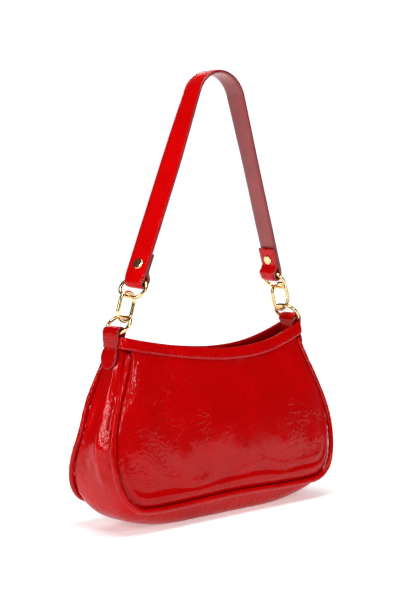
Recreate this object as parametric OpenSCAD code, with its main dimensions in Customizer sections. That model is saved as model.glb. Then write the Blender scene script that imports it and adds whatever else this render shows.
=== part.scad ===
// Soft shoulder bag in the baguette shape: two domed panels joined by one U-shaped gusset,
// piped seams, a bound mouth with a recessed zip, and a short strap on three-ring chains.
// Millimetres. X runs along the bag, -Y is the front, Z is up. The origin is the middle of the
// face that the bag stands on.

/* [Body] */
// Half of the body's width at its widest point
hip_x = 131; // [120:1:140]
// Height of the widest point above the floor
hip_z = 64; // [55:1:75]
// Half of the distance between the seams at the mouth
seam_top_x = 102.5; // [98:0.5:106]
// Height of the side seams' upper ends
seam_top_z = 145.5; // [142:0.5:150]
// Height of the front and back seams at the middle of the bottom
seam_bottom_z = 19; // [16:1:22]
// Half of the depth that the two seam planes would have at the floor
depth_at_floor = 38.2; // [34:0.2:42]
// How much each seam plane leans in for every millimetre of height
depth_lean = 0.173; // [0.15:0.001:0.18]
// How far the soft back seam is pressed in at mid height
back_press = 7; // [0:0.5:8]
// How far each panel domes out of its seam plane
panel_dome = 9; // [4:1:12]
// Thickness of the leather
leather = 1.6; // [1.2:0.1:2]
// Thickness of the lining cloth
lining = 0.6; // [0.4:0.1:0.8]
// Radius of the piping along the seams
piping_r = 2.5; // [2:0.1:3]

/* [Mouth] */
// Half of the mouth's length
mouth_x = 107.5; // [106:0.5:109]
// Distance of the mouth's front edge from the middle
mouth_front_y = 17; // [15:0.5:18]
// Distance of the mouth's back edge from the middle
mouth_back_y = 10; // [9:0.5:14]
// Distance of the mouth's corners from the middle
mouth_end_y = 11.8; // [10:0.2:13]
// Height of the mouth's edge at its middle
mouth_z = 144; // [141:0.1:146]
// Radius of the arc that the mouth's edge follows
mouth_arc = 362; // [350:1:380]
// Height of the binding that is folded over the mouth's edge
binding_h = 10; // [9:0.5:11]

/* [Zip] */
// Depth of the zip below the mouth's edge
zip_depth = 18; // [16:0.5:20]
// Distance of the zip's middle in front of the bag's middle
zip_front = 3; // [2:0.5:4]
// Distance of each open row of teeth from the zip's middle
zip_open = 8; // [6:0.5:8]
// Distance of the parked slider from the middle
slider_x = 87; // [84:0.5:88]

/* [Rings] */
// Wire diameter of the rings and links
wire_d = 3; // [2.6:0.1:3.2]
// Outer length of each oval ring
ring_long = 28.4; // [28:0.2:30]
// Outer length of each middle link
link_long = 27.4; // [26:0.2:28]
// Outer width of each oval ring and link
ring_short = 20.4; // [20:0.2:21]
// Distance of a middle link's lower end from the middle of the bag
link_x = 97; // [96:0.5:99]
// Height of a middle link's lower end
link_z = 172.2; // [171:0.1:175]
// Lean of the middle links towards the middle
link_lean = 18; // [14:1:20]
// Lean of the lower rings towards the middle
bag_ring_lean = 41; // [38:1:43]
// Lean of the upper rings towards the middle
strap_ring_lean = 37; // [30:1:40]

/* [Strap] */
// Width of the strap
strap_w = 20.2; // [18:0.1:20.6]
// Thickness of the strap's outer layer
strap_outer_t = 1.3; // [1:0.1:1.4]
// Thickness of the strap's backing
strap_back_t = 1.1; // [0.9:0.1:1.2]
// Height of the strap's highest point
strap_top = 384; // [370:1:395]
// Radius of the strap's round top
strap_arch_r = 28; // [24:1:32]
// Distance of the strap's top from the middle of the bag
strap_top_x = 9.5; // [0:0.5:11]
// Turn of the strap's left end about the vertical
left_turn = 12; // [0:1:14]
// Turn of the strap's right end about the vertical
right_turn = -5; // [-6:1:0]
// Length of the tail folded back behind each end
tail_len = 29; // [26:1:34]
// Distance of each rivet from the bottom of the strap's fold
rivet_up = 18.5; // [18:0.5:20]
// Diameter of a rivet's cap
rivet_d = 9; // [8:0.5:10]

/* [Hidden] */

RED = "#b00010";
DARK_RED = "#7c0009";
LINING = "#55090e";
GOLD = "#d9b36a";
air = 0.1;                // gap between sewn layers
play = 0.45;              // gap between two rings that hang in each other
wire_r = wire_d / 2;
ring_a = (ring_long - wire_d) / 2;    // half length of a ring's centreline
ring_b = (ring_short - wire_d) / 2;   // half width of a ring's centreline
link_a = (link_long - wire_d) / 2;    // half length of a link's centreline
arc_z = mouth_z + mouth_arc;          // height of the centre of the mouth's arc
zip_arc = mouth_arc + zip_depth;

// ---- small maths --------------------------------------------------------------------------

function lerp(a, b, t) = a + (b - a) * t;
function ease(t) = let (u = min(1, max(0, t))) u * u * (3 - 2 * u);
function unit(v) = v / norm(v);
function bezier(p, t) =
    let (u = 1 - t)
    u * u * u * p[0] + 3 * u * u * t * p[1] + 3 * u * t * t * p[2] + t * t * t * p[3];
function reversed(list) = [for (i = [len(list) - 1 : -1 : 0]) list[i]];
// Direction of a polyline at one of its points
function along(path, i) = unit(path[min(i + 1, len(path) - 1)] - path[max(i - 1, 0)]);

// ---- closed meshes ------------------------------------------------------------------------

// Skin of a tube whose rings all have the same number of points. A closed tube joins its last
// ring to its first; an open one has flat ends.
module loft(rings, closed = false) {
    n = len(rings);
    m = len(rings[0]);
    last = closed ? n - 1 : n - 2;
    sides = [
        for (i = [0 : last], j = [0 : m - 1])
            let (
                k = (i + 1) % n,
                q = (j + 1) % m,
                a = i * m + j,
                b = i * m + q,
                c = k * m + q,
                d = k * m + j
            )
            each [[a, b, c], [a, c, d]]
    ];
    ends = closed
        ? []
        : [reversed([for (j = [0 : m - 1]) j]), [for (j = [0 : m - 1]) (n - 1) * m + j]];
    polyhedron(points = [for (r = rings) each r], faces = concat(sides, ends));
}

// Closed sheet between two grids of points of the same size, such as a shell's two faces.
module sheet(outer, inner) {
    rings = [for (i = [0 : len(outer) - 1]) concat(outer[i], reversed(inner[i]))];
    n = len(rings);
    m = len(rings[0]);
    h = m / 2;
    // Both faces are split along the same diagonals, so that a thin sheet can't cross itself
    sides = [
        for (i = [0 : n - 2], j = [0 : m - 1])
            let (q = (j + 1) % m, a = i * m + j, b = i * m + q)
            each j < h ? [[a, b, b + m], [a, b + m, a + m]] : [[a, b, a + m], [b, b + m, a + m]]
    ];
    function strip(i) = [
        for (j = [0 : h - 2])
            each [
                [i * m + j, i * m + m - 1 - j, i * m + j + 1],
                [i * m + j + 1, i * m + m - 1 - j, i * m + m - 2 - j]
            ]
    ];
    first = strip(0);
    last = [for (f = strip(n - 1)) reversed(f)];
    polyhedron(points = [for (r = rings) each r], faces = concat(sides, first, last));
}

// ---- outline of the seams -----------------------------------------------------------------

// Right half of the seam's outline in the XZ plane, from the mouth down to the bottom's middle
side_curve = [
    [seam_top_x, seam_top_z],
    [seam_top_x + 8, seam_top_z - 25],
    [hip_x, hip_z + 28],
    [hip_x, hip_z]
];
corner_curve = [
    [hip_x, hip_z],
    [hip_x, hip_z - 27],
    [hip_x - 9, seam_bottom_z + 0.5],
    [hip_x - 31, seam_bottom_z - 1]
];
bottom_curve = [
    [hip_x - 31, seam_bottom_z - 1],
    [hip_x - 56, seam_bottom_z - 2.7],
    [30, seam_bottom_z],
    [0, seam_bottom_z]
];
half_seam = concat(
    [for (i = [0 : 8]) bezier(side_curve, i / 9)],
    [for (i = [0 : 8]) bezier(corner_curve, i / 9)],
    [for (i = [0 : 6]) bezier(bottom_curve, i / 6)]
);
left_seam = [for (p = half_seam) [-p[0], p[1]]];
seam = concat(left_seam, [for (i = [len(half_seam) - 2 : -1 : 0]) half_seam[i]]);
top_index = len(seam) - 1;
// The gusset runs on up to the binding, past both ends of the seams
collar_x = seam_top_x - 0.3;
collar = [collar_x, edge_z(collar_x) - binding_h - 2 * air];
outline = concat([[-collar[0], collar[1]]], seam, [collar]);
last = len(outline) - 1;

function outward(path, i) = let (t = along(path, i)) [t[1], -t[0]];
function seam_depth(z) = depth_at_floor - depth_lean * z;
function back_depth(z) = seam_depth(z) - back_press * exp(-pow((z - 80) / 24, 2));
// Height of the mouth's edge, and its distance from the bag's middle, at a place along the bag.
// Side is -1 at the front and 1 at the back.
function edge_z(x) = arc_z - sqrt(mouth_arc * mouth_arc - x * x);
function edge_y(x, side) =
    lerp(side < 0 ? mouth_front_y : mouth_back_y, mouth_end_y, pow(x / mouth_x, 2));

// ---- panels -------------------------------------------------------------------------------

panel_rows = 7;
lining_out = leather + 0.25;
lining_in = lining_out + lining;

// Point of a panel's face: i counts along the seam and t climbs from the seam to the mouth.
// In is the distance that the face is sunk below the leather's outer face.
function panel_point(i, t, in, side) =
    let (
        foot = seam[i] - (piping_r + air) * outward(seam, i),
        x_top = lerp(3 - collar_x, collar_x - 3, i / top_index),
        z_top = edge_z(x_top) - binding_h - 2 * air,
        y_top = edge_y(x_top, side) + side_spread * binding_h,
        y_foot = side < 0 ? seam_depth(foot[1]) : back_depth(foot[1]),
        x = lerp(foot[0], x_top, t),
        z = lerp(foot[1], z_top, t),
        reach = min(1, norm([x_top, z_top] - foot) / 70),
        dome = panel_dome * reach * (1 - pow(1 - t, 2.2)) * pow(1 - t * t, 1.5),
        y = lerp(y_foot, y_top, t) + dome
    )
    [x, side * (y - in), z];

function panel_face(in, side) =
    [
        for (i = [0 : top_index])
            [for (k = [0 : panel_rows]) panel_point(i, k / panel_rows, in, side)]
    ];

module front_panel() {
    color(RED) sheet(panel_face(0, -1), panel_face(leather, -1));
}

module back_panel() {
    color(RED) sheet(panel_face(leather, 1), panel_face(0, 1));
}

module lining_front() {
    color(LINING) sheet(panel_face(lining_out, -1), panel_face(lining_in, -1));
}

module lining_back() {
    color(LINING) sheet(panel_face(lining_in, 1), panel_face(lining_out, 1));
}

// ---- gusset -------------------------------------------------------------------------------

gusset_cols = 10;
side_bulge = 0.8;

// Bulge of the gusset past the seams' outline: small at the sides, deep along the bottom
function gusset_bulge(i) =
    let (
        n = outward(outline, i),
        down = max(0, -n[1]),
        x = outline[i][0],
        z = outline[i][1]
    )
    max(side_bulge, down * (seam_bottom_z + 2.5 - 12 * pow(abs(x) / 110, 3)))
        + (mouth_x + end_spread * binding_h - collar_x - side_bulge) * ease((z - 105) / 42);

// The gusset's cross-section at one point of the outline. The part that would hang below the
// floor lies flat on it.
function gusset_row(i, in, inset) =
    let (
        n = outward(outline, i),
        trim = piping_r + air + inset,
        front = seam_depth(outline[i][1]) - trim,
        back = back_depth(outline[i][1]) - trim
    )
    [
        for (k = [0 : gusset_cols])
            let (
                v = 2 * k / gusset_cols - 1,
                flat_end = ease((outline[i][1] - 105) / 45),
                fill = lerp(1 - pow(v, 4), 1 - pow(v, 8), flat_end),
                p = outline[i] + n * (gusset_bulge(i) * fill - in),
                arc_lift = edge_z(min(mouth_x, abs(p[0]))) - edge_z(outline[i][0]),
                near_top = ease((outline[i][1] - seam_top_z + 15) / 15),
                z = lerp(p[1], outline[i][1] + arc_lift, near_top)
            )
            [p[0], v * (v < 0 ? front : back), max(in, z)]
    ];

module gusset_sheet(in, thick, inset) {
    sheet(
        [for (i = [0 : last]) gusset_row(i, in, inset)],
        [for (i = [0 : last]) gusset_row(i, in + thick, inset)]
    );
}

module gusset() {
    color(RED) gusset_sheet(0, leather, 0);
}

module lining_gusset() {
    color(LINING) gusset_sheet(lining_out + 0.25, lining, 1);
}

module base_board() {
    board_z = lining_in + 0.5;
    color("dimgray")
        translate([0, 0, board_z])
            linear_extrude(2)
                hull()
                    for (x = [-60, 60], y = [-6, 6])
                        translate([x, y]) circle(8, $fn = 32);
}

// ---- piping -------------------------------------------------------------------------------

piping_sides = 8;

function piping_ring(i, side) =
    let (
        n = outward(seam, i),
        c = seam[i],
        depth = side < 0 ? seam_depth(c[1]) : back_depth(c[1])
    )
    [
        for (k = [0 : piping_sides - 1])
            let (
                a = 360 * k / piping_sides,
                d = piping_r * cos(a),
                p = c + n * d
            )
            [p[0], piping_r * sin(a) + side * depth, p[1]]
    ];

module piping(side) {
    color(RED) loft([for (i = [0 : top_index]) piping_ring(i, side)]);
}

module front_piping() {
    piping(-1);
}

module back_piping() {
    piping(1);
}

// ---- mouth --------------------------------------------------------------------------------

corner_r = 4;
side_x = mouth_x - corner_r;
// Quarter of the mouth's outline seen from above, from the end's middle to the side's middle
function quarter(side) = concat(
    [[mouth_x, 0], [mouth_x, edge_y(side_x, side) / 2]],
    [
        for (a = [0 : 18 : 72])
            [side_x + corner_r * cos(a), edge_y(side_x, side) - corner_r + corner_r * sin(a)]
    ],
    [for (i = [10 : -1 : 0]) [side_x * i / 10, edge_y(side_x * i / 10, side)]]
);
front = quarter(-1);
back = quarter(1);
quarter_last = len(front) - 1;
plan = concat(
    back,
    [for (i = [quarter_last - 1 : -1 : 0]) [-back[i][0], back[i][1]]],
    [for (i = [1 : quarter_last]) -front[i]],
    [for (i = [quarter_last - 1 : -1 : 1]) [front[i][0], -front[i][1]]]
);
plan_n = len(plan);

function plan_normal(i) =
    let (t = unit(plan[(i + 1) % plan_n] - plan[(i + plan_n - 1) % plan_n]))
    [t[1], -t[0]];

// The wall's faces spread outwards below the edge, more at the sides than at the ends
side_spread = 0.21;
end_spread = 0.06;

// Point d outside the wall's face and h above the mouth's edge
function wall_point(i, d, h) =
    let (
        p = plan[i],
        n = plan_normal(i),
        q = p + n * (d - h * lerp(end_spread, side_spread, abs(n[1])))
    )
    [q[0], q[1], edge_z(p[0]) + h];

function wall_rings(places, profile) =
    [for (i = places) [for (q = profile) wall_point(i, q[0], q[1])]];

wall_t = lining_in + 2 * air;
bind_t = 1.1;

module mouth_binding() {
    profile = [
        [-wall_t - bind_t, -binding_h],
        [-wall_t - bind_t, -0.8],
        [-wall_t - bind_t + 0.9, 0.1],
        [bind_t - 0.9, 0.1],
        [bind_t, -0.8],
        [bind_t, -binding_h]
    ];
    color(RED) loft(wall_rings([0 : plan_n - 1], profile), closed = true);
}

facing_d = wall_t + 0.5;
facing_t = 0.9;

module facing(side) {
    top = -binding_h - air;
    foot = -zip_depth - 1;
    profile = [
        [-facing_d, top],
        [-facing_d, foot],
        [-facing_d - facing_t, foot],
        [-facing_d - facing_t, top]
    ];
    places = [for (i = [0 : plan_n - 1]) if (abs(plan[i][0]) < 94 && plan[i][1] * side > 0) i];
    color(RED) loft(wall_rings(places, profile));
}

module facing_front() {
    facing(-1);
}

module facing_back() {
    facing(1);
}

// ---- zip ----------------------------------------------------------------------------------

row_start = -91.5;
row_end = 91;
row_steps = 40;
chain_half = 1;          // half width of one row of teeth
chain_t = 1.6;
tape_t = 0.7;

function zip_z(x) = arc_z - sqrt(zip_arc * zip_arc - x * x);
// Distance of a row of teeth from the zip's middle: the rows meet at the parked slider
function row_y(x) =
    lerp(chain_half + air, zip_open - 2.5 * pow(x / 100, 2), ease((x + slider_x + 6.5) / 34));
// Distance of a tape's outer edge, just inside the facing, from the zip's middle
function tape_edge(x, side) =
    edge_y(x, side) + side_spread * zip_depth - facing_d - facing_t - 0.4 + side * zip_front;

row_xs = [for (i = [0 : row_steps]) lerp(row_start, row_end, i / row_steps)];

// Strip along the zip's arc between two distances from the middle
function strip_ring(x, y0, y1, t) =
    let (z = zip_z(x))
    [[x, y0, z - t / 2], [x, y1, z - t / 2], [x, y1, z + t / 2], [x, y0, z + t / 2]];

module row_of_teeth(side) {
    color(GOLD)
        translate([0, -zip_front, 0])
            mirror([0, side < 0 ? 1 : 0, 0])
                loft([
                    for (x = row_xs)
                        strip_ring(x, row_y(x) - chain_half, row_y(x) + chain_half, chain_t)
                ]);
}

module tape(side) {
    color(DARK_RED)
        translate([0, -zip_front, 0])
            mirror([0, side < 0 ? 1 : 0, 0])
                loft([
                    for (x = row_xs)
                        strip_ring(x, row_y(x) + chain_half + air, tape_edge(x, side), tape_t)
                ]);
}

module zip_teeth_front() {
    row_of_teeth(-1);
}

module zip_teeth_back() {
    row_of_teeth(1);
}

module zip_tape_front() {
    tape(-1);
}

module zip_tape_back() {
    tape(1);
}

// Places its children on the zip's arc at x, with +X along the zip
module on_zip(x) {
    tilt = -asin(x / zip_arc);
    translate([0, -zip_front, arc_z])
        rotate([0, tilt, 0]) translate([0, 0, -zip_arc]) children();
}

module zip_stops() {
    color(GOLD) {
        on_zip(row_start - 2.2) cube([2.4, 5, 2.4], center = true);
        for (y = [-row_y(row_end), row_y(row_end)])
            on_zip(row_end + 1.8) translate([0, y, 0]) cube([2.4, 2.6, 2.4], center = true);
    }
}

plate_l = 9;
plate_w = 7.6;
plate_t = 1;
plate_gap = 1.3;         // half of the slot between the slider's plates
bridge_z = plate_gap + plate_t;
pull_pin_z = bridge_z + 1.6;

module slider_plate(z) {
    translate([0, 0, z])
        linear_extrude(plate_t)
            hull() {
                translate([-plate_l / 2 + 1, 0]) square([2, plate_w - 2.4], center = true);
                translate([plate_l / 2 - 1.5, 0]) square([3, plate_w], center = true);
            }
}

module zip_slider() {
    color(GOLD)
        on_zip(-slider_x) {
            slider_plate(plate_gap);
            slider_plate(-plate_gap - plate_t);
            translate([plate_l / 2 - 1.3, 0, -plate_gap - 0.2])
                cylinder(h = 2 * plate_gap + 0.4, r = 0.8, $fn = 24);
            difference() {
                translate([0, 0, bridge_z + 1.3]) cube([5.4, 1.6, 3], center = true);
                translate([0, -2, pull_pin_z]) rotate([-90, 0, 0])
                    cylinder(h = 4, r = 0.75, $fn = 24);
            }
        }
}

pull_len = 15;
pull_w = 6;

module zip_pull() {
    color(GOLD)
        on_zip(-slider_x)
            translate([0, 0, pull_pin_z]) {
                translate([0, -2.4, 0]) rotate([-90, 0, 0])
                    cylinder(h = 4.8, r = 0.65, $fn = 24);
                for (y = [-2.2, 2.2])
                    translate([2.6, y, 0]) cube([6.4, 1, 1.2], center = true);
                translate([5, 0, 0])
                    linear_extrude(1.2, center = true)
                        hull() {
                            translate([0.6, 0]) square([1.2, pull_w - 0.6], center = true);
                            translate([pull_len - 5 - pull_w / 2, 0])
                                circle(pull_w / 2, $fn = 32);
                        }
            }
}

// ---- rings --------------------------------------------------------------------------------

// Oval wire ring in the XZ plane, long along Z, centred on the origin
module oval_ring(half_long) {
    straight = half_long - ring_b;
    rotate([90, 0, 0]) {
        for (s = [0, 180])
            rotate([0, 0, s])
                translate([0, straight, 0])
                    rotate_extrude(angle = 180, $fn = 64)
                        translate([ring_b, 0]) circle(wire_r, $fn = 32);
        for (x = [-ring_b, ring_b])
            translate([x, -straight, 0]) rotate([-90, 0, 0])
                cylinder(h = 2 * straight, r = wire_r, $fn = 32);
    }
}

// Places on the right-hand chain, as [x, z]: side is 1 on the right and -1 on the left
function lean(angle) = [-sin(angle), cos(angle)];
link_low = [link_x, link_z];
link_high = link_low + 2 * link_a * lean(link_lean);
ring_top = link_low + (wire_d + play) * lean(link_lean);
ring_low = ring_top - 2 * ring_b * lean(bag_ring_lean);
strap_ring_low = link_high - (wire_d + play) * lean(link_lean);

// A ring that lies across the bag: its middle is at [x, z], and it leans by an angle and is
// turned about its own height
module cross_ring(middle, angle, turn) {
    translate([middle[0], 0, middle[1]])
        rotate([0, -angle, 0])
            rotate([0, 0, turn])
                rotate([0, -90, -90]) oval_ring(ring_a);
}

module side_link(side) {
    middle = (link_low + link_high) / 2;
    color(GOLD)
        translate([side * middle[0], 0, middle[1]])
            rotate([0, -side * link_lean, 0])
                rotate([0, 0, 0.7 * end_turn(side)]) oval_ring(link_a);
}

module bag_ring(side) {
    middle = (ring_top + ring_low) / 2;
    color(GOLD) cross_ring([side * middle[0], middle[1]], side * bag_ring_lean, 0);
}

module bag_ring_left() {
    bag_ring(-1);
}

module bag_ring_right() {
    bag_ring(1);
}

module link_left() {
    side_link(-1);
}

module link_right() {
    side_link(1);
}

// ---- strap --------------------------------------------------------------------------------

strap_t = strap_outer_t + strap_back_t + 2 * air;
leg_steps = 36;
pocket = 3.8;            // room under the wire for the ring's round corners
fold_shift = 0.5;
pinch = 1.4;             // how much the ring narrows the strap at each side of the fold
arch = [strap_top_x, strap_top - strap_t / 2 - strap_arch_r];
fold_r = wire_r + 1.1 + strap_t / 2;
wire_at = strap_ring_low + 2 * ring_b * lean(strap_ring_lean);

// Angle by which a leg of the strap leans in, from the wire that holds it to the arch
function leg_lean(side) =
    let (d = [side * arch[0] - wire_at[0], arch[1] - wire_at[1]], reach = norm(d))
    asin(-d[0] / reach) - asin((strap_arch_r - fold_r - fold_shift) / reach);

function end_turn(side) = side < 0 ? left_turn : right_turn;

module strap_ring(side) {
    middle = (strap_ring_low + wire_at) / 2;
    color(GOLD)
        cross_ring([side * middle[0], middle[1]], side * strap_ring_lean, end_turn(side));
}

module strap_ring_left() {
    strap_ring(-1);
}

module strap_ring_right() {
    strap_ring(1);
}

// Directions up a leg and out of it, and the middle of the fold at its lower end, as [x, z]
// mirrored onto the right-hand side
function leg_up(side) = lean(leg_lean(side));
function leg_out(side) = [leg_up(side)[1], -leg_up(side)[0]];
function fold_at(side) =
    wire_at + fold_shift * leg_out(side) - (pocket + wire_r + strap_t / 2 - fold_r) * leg_up(side);

// Centreline of one end of the strap, as [x, z] mirrored onto the right-hand side: down the
// tail, round the fold under the wire and up the leg to the start of the arch
function end_path(side) =
    let (
        u = leg_up(side),
        v = leg_out(side),
        fold = fold_at(side),
        tail_top = tail_len - fold_r
    )
    concat(
        [
            for (i = [0 : 10])
                let (
                    h = lerp(tail_top, 0, i / 10),
                    apart = lerp(fold_r, strap_t + air - fold_r, ease((h - 3) / 7))
                )
                fold + h * u - apart * v
        ],
        [for (i = [1 : 7]) fold + fold_r * (-cos(i * 22.5) * v - sin(i * 22.5) * u)],
        [
            for (i = [0 : leg_steps])
                fold + fold_r * v + leg_length(side, fold, v) * i / (leg_steps + 0.5) * u
        ]
    );

function leg_length(side, fold, v) =
    let (start = fold + fold_r * v, c = [side * arch[0], arch[1]])
    sqrt(max(0, pow(norm(c - start), 2) - strap_arch_r * strap_arch_r));

left_end = [for (p = end_path(-1)) [-p[0], p[1]]];
right_end = reversed(end_path(1));
arch_path = [
    for (i = [0 : 16])
        let (a = lerp(180 - leg_lean(-1), leg_lean(1), i / 16))
        arch + strap_arch_r * [cos(a), sin(a)]
];
strap_path = concat(left_end, arch_path, right_end);

// Turn of each end about its own leg, which fades out towards the top
function strap_turn(i) =
    let (high = ease((strap_top - 10 - strap_path[i][1]) / 80))
    (i < len(strap_path) / 2 ? left_turn : -right_turn) * high;

// Cross-section of one layer of the strap. d0 and d1 are its faces' distances from the middle
// of the strap's thickness, positive on the outer side.
function strap_ring_points(i, d0, d1) =
    let (
        side = i < len(strap_path) / 2 ? -1 : 1,
        w = strap_turn(i),
        v = [side * leg_out(side)[0], leg_out(side)[1]],
        fold = [side * fold_at(side)[0], fold_at(side)[1]],
        p = strap_path[i],
        t = along(strap_path, i),
        out = [-t[1], t[0]],
        height = (p - fold) * [side * leg_up(side)[0], leg_up(side)[1]],
        half = strap_w / 2 - pinch * (1 - ease((height + fold_r) / 9)),
        across = half * [v[0] * sin(w), cos(w), v[1] * sin(w)],
        up = turned(out, v, w),
        c = [fold[0], 0, fold[1]] + turned(p - fold, v, w)
    )
    [c + up * d0 - across, c + up * d0 + across, c + up * d1 + across, c + up * d1 - across];

// Vector d, given as [x, z], with its share along v turned by w towards the front
function turned(d, v, w) =
    let (share = d * v)
    [d[0], 0, d[1]] + share * [v[0] * (cos(w) - 1), -sin(w), v[1] * (cos(w) - 1)];

module strap_layer(d0, d1) {
    loft([for (i = [0 : len(strap_path) - 1]) strap_ring_points(i, d0, d1)]);
}

module strap_outer() {
    color(RED) strap_layer(strap_t / 2 - strap_outer_t, strap_t / 2);
}

module strap_backing() {
    color(DARK_RED) strap_layer(-strap_t / 2, -strap_t / 2 + strap_back_t);
}

// Cap on each face of the doubled strap end, at the height of the rivet
module rivet(side) {
    fold = fold_at(side);
    color(GOLD)
        translate([side * fold[0], 0, fold[1]])
            rotate([0, -side * leg_lean(side), 0])
                rotate([0, 0, end_turn(side)])
                    translate([side * fold_r, 0, rivet_up - fold_r])
                        rotate([0, side * 90, 0]) {
                            translate([0, 0, strap_t / 2 + 0.05]) rivet_cap();
                            translate([0, 0, -1.5 * strap_t - air - 0.05])
                                mirror([0, 0, 1]) rivet_cap();
                        }
}

module rivet_cap() {
    rotate_extrude($fn = 48)
        polygon([
            [0, 0],
            [rivet_d / 2, 0],
            [rivet_d / 2, 0.4],
            [rivet_d / 2 - 0.4, 0.9],
            [rivet_d / 2 - 1.4, 1.2],
            [0, 1.3]
        ]);
}

module rivet_left() {
    rivet(-1);
}

module rivet_right() {
    rivet(1);
}

// ---- tabs ---------------------------------------------------------------------------------

tab_t = 1.8;
tab_w = 19.6;

// Outer face of the gusset's middle at a height, on the right-hand side
gusset_middle = [
    for (i = [0 : 12])
        let (p = gusset_row(last - i, 0, 0)[gusset_cols / 2])
        [p[2], p[0]]
];
wall_z = edge_z(mouth_x);
binding_out = mouth_x + bind_t + end_spread * binding_h;
tab_gap = 0.3;

function tab_outer_x(z) = max(binding_out, lookup(z, gusset_middle)) + tab_gap + tab_t / 2;

// Centreline of the right-hand tab as [x, z, half width]: from the end of the inner leg, over
// the ring's wire and down outside to the end of the rounded lobe
function tab_path() =
    let (
        half = tab_w / 2,
        inner_x = mouth_x - wall_t - bind_t - tab_t / 2 - 2 * tab_gap,
        outer_x = tab_outer_x(wall_z),
        loop_in = ring_low[0] - 5.3,
        loop_x = (loop_in + outer_x) / 2,
        loop_z = ring_low[1] + 0.1
    )
    concat(
        [for (i = [0 : 4]) [inner_x, wall_z - 25 + i * 5.5, half - 2.2]],
        [[lerp(inner_x, loop_in, 0.55), wall_z - 0.5, half - 1.8]],
        [
            for (i = [0 : 8])
                let (a = 180 - i * 22.5)
                [loop_x + (outer_x - loop_in) / 2 * cos(a), loop_z + 5.2 * sin(a), half - 0.4]
        ],
        [
            for (i = [0 : 11])
                let (
                    z = lerp(wall_z - 2, wall_z - 26.5, i / 11),
                    waist = 1.8 * exp(-pow((z - wall_z + 8) / 3, 2)),
                    end = max(0, (wall_z - 17 - z) / 9.8),
                    round = sqrt(max(0.04, 1 - end * end))
                )
                [tab_outer_x(z), z, (half - 0.6 - waist) * round]
        ]
    );

module tab(side) {
    path = tab_path();
    line = [for (p = path) [p[0], p[1]]];
    rings = [
        for (i = [0 : len(path) - 1])
            let (
                n = outward(line, i) * tab_t / 2,
                p = line[i],
                h = path[i][2]
            )
            [
                [p[0] - n[0], -h, p[1] - n[1]],
                [p[0] - n[0], h, p[1] - n[1]],
                [p[0] + n[0], h, p[1] + n[1]],
                [p[0] + n[0], -h, p[1] + n[1]]
            ]
    ];
    color(RED)
        mirror([side < 0 ? 1 : 0, 0, 0]) loft(rings);
}

module tab_left() {
    tab(-1);
}

module tab_right() {
    tab(1);
}

front_panel();
back_panel();
gusset();
front_piping();
back_piping();
mouth_binding();
facing_front();
facing_back();
lining_front();
lining_back();
lining_gusset();
base_board();
tab_left();
tab_right();
zip_stops();
zip_tape_front();
zip_tape_back();
zip_teeth_front();
zip_teeth_back();
zip_slider();
zip_pull();
bag_ring_left();
bag_ring_right();
link_left();
link_right();
strap_outer();
strap_backing();
strap_ring_left();
strap_ring_right();
rivet_left();
rivet_right();
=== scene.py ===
import math

import bpy
import numpy as np
from mathutils import Matrix, Vector


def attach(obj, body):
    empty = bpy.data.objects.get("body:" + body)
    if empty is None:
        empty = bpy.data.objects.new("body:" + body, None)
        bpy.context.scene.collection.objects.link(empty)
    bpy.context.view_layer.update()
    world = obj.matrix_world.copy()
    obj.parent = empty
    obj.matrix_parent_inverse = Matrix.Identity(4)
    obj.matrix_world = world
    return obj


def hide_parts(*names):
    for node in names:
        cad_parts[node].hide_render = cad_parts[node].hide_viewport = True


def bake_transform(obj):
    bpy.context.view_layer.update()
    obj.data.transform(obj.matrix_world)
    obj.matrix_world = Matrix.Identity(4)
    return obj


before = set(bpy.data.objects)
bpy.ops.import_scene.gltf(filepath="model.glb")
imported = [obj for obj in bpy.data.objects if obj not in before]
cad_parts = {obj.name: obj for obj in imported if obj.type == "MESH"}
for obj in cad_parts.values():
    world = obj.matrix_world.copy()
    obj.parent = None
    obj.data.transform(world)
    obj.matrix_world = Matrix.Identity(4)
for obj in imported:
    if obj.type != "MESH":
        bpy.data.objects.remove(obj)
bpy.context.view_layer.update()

MM = 0.001

# ---- driving dimensions, in millimetres, the same as the CAD model's ---------------------------
HIP_X, HIP_Z = 131.0, 64.0
SEAM_TOP_X, SEAM_TOP_Z = 102.5, 145.5
SEAM_BOTTOM_Z = 19.0
DEPTH_AT_FLOOR, DEPTH_LEAN = 38.2, 0.173
BACK_PRESS = 7.0
PANEL_DOME = 9.0
LEATHER, LINING, PIPING_R = 1.6, 0.6, 2.5
MOUTH_X, MOUTH_FRONT_Y, MOUTH_BACK_Y, MOUTH_END_Y = 107.5, 17.0, 10.0, 11.8
MOUTH_Z, MOUTH_ARC, BINDING_H = 144.0, 362.0, 10.0
ZIP_DEPTH, ZIP_FRONT, ZIP_OPEN, SLIDER_X = 18.0, 3.0, 8.0, 87.0
WIRE_D, RING_SHORT, LINK_LONG = 3.0, 20.4, 27.4
LINK_X, LINK_Z, LINK_LEAN, BAG_RING_LEAN, STRAP_RING_LEAN = 97.0, 172.2, 18.0, 41.0, 37.0
STRAP_W, STRAP_OUTER_T, STRAP_BACK_T = 20.2, 1.3, 1.1
STRAP_TOP, STRAP_ARCH_R, STRAP_TOP_X = 384.0, 28.0, 9.5
LEFT_TURN, RIGHT_TURN, TAIL_LEN = 12.0, -5.0, 29.0
AIR, PLAY = 0.1, 0.45
ARC_Z = MOUTH_Z + MOUTH_ARC
SIDE_SPREAD, END_SPREAD = 0.21, 0.06
WIRE_R = WIRE_D / 2
COLLAR_X = SEAM_TOP_X - 0.3
# Half width of a panel's top edge, and how far panels and gusset reach up under the binding
PANEL_TOP_X = COLLAR_X - 3
TUCK = 1.2
# Gap between the piping and the leather beside it, and a run a little longer than the seam's,
# which spaces its puckers
SEAM_GAP = 0.05
SEAM_RUN = 560


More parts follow.
